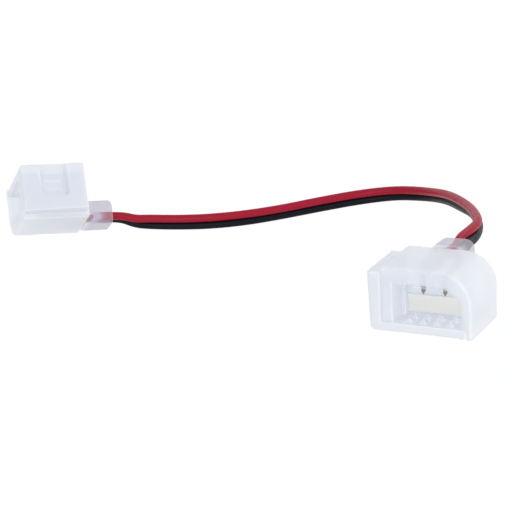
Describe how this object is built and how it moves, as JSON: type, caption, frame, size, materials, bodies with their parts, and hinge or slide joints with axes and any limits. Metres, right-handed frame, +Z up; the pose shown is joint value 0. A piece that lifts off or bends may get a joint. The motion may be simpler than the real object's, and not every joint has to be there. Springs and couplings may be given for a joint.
{
  "type": "led strip connector",
  "caption": "Strip-to-strip jumper lead: two milky clip-on connectors with toothed hinged jaws and piercing contacts, joined by a short red and black two-core cable.",
  "frame": {"origin": "centre of the base of the box round both connectors, on the surface they rest on, cable left out", "axes": "+X from the rolled connector to the upright one, along the longest extent; +Y from the upright connector's mouth to its rear; +Z up"},
  "size_m": [0.1124, 0.0689, 0.0168],
  "materials": {
    "milky_housing": "translucent milky moulded plastic, softly polished",
    "carrier": "clearer greyish moulded plastic",
    "seal_pad": "soft beige silicone",
    "contact": "stamped spring bronze",
    "copper": "bare stranded copper",
    "red_insulation": "smooth flexible red insulation",
    "black_insulation": "smooth flexible black insulation"
  },
  "bodies": {
    "root": {"housing_a": "milky_housing", "carrier_a": "carrier", "seal_pad_a": "seal_pad", "contact_red_a": "contact", "contact_black_a": "contact", "core_red_a": "red_insulation", "core_black_a": "black_insulation", "strand_red_a": "copper", "strand_black_a": "copper", "housing_b": "milky_housing", "carrier_b": "carrier", "seal_pad_b": "seal_pad", "contact_red_b": "contact", "contact_black_b": "contact", "core_red_b": "red_insulation", "core_black_b": "black_insulation", "strand_red_b": "copper", "strand_black_b": "copper", "wire_red": "red_insulation", "wire_black": "black_insulation"},
    "jaw_a": {"jaw_a": "milky_housing"},
    "jaw_b": {"jaw_b": "milky_housing"}
  },
  "joints": [
    {"name": "jaw_a_hinge", "type": "hinge", "parent": "root", "child": "jaw_a", "pos_m": [-0.05038, 0.01598, 0.00793], "axis": [-0.6908, -0.7178, 0.0872], "range_deg": [0, 85]},
    {"name": "jaw_b_hinge", "type": "hinge", "parent": "root", "child": "jaw_b", "pos_m": [0.0545, -0.01521, 0.00075], "axis": [0, -1, 0], "range_deg": [0, 85]}
  ]
}
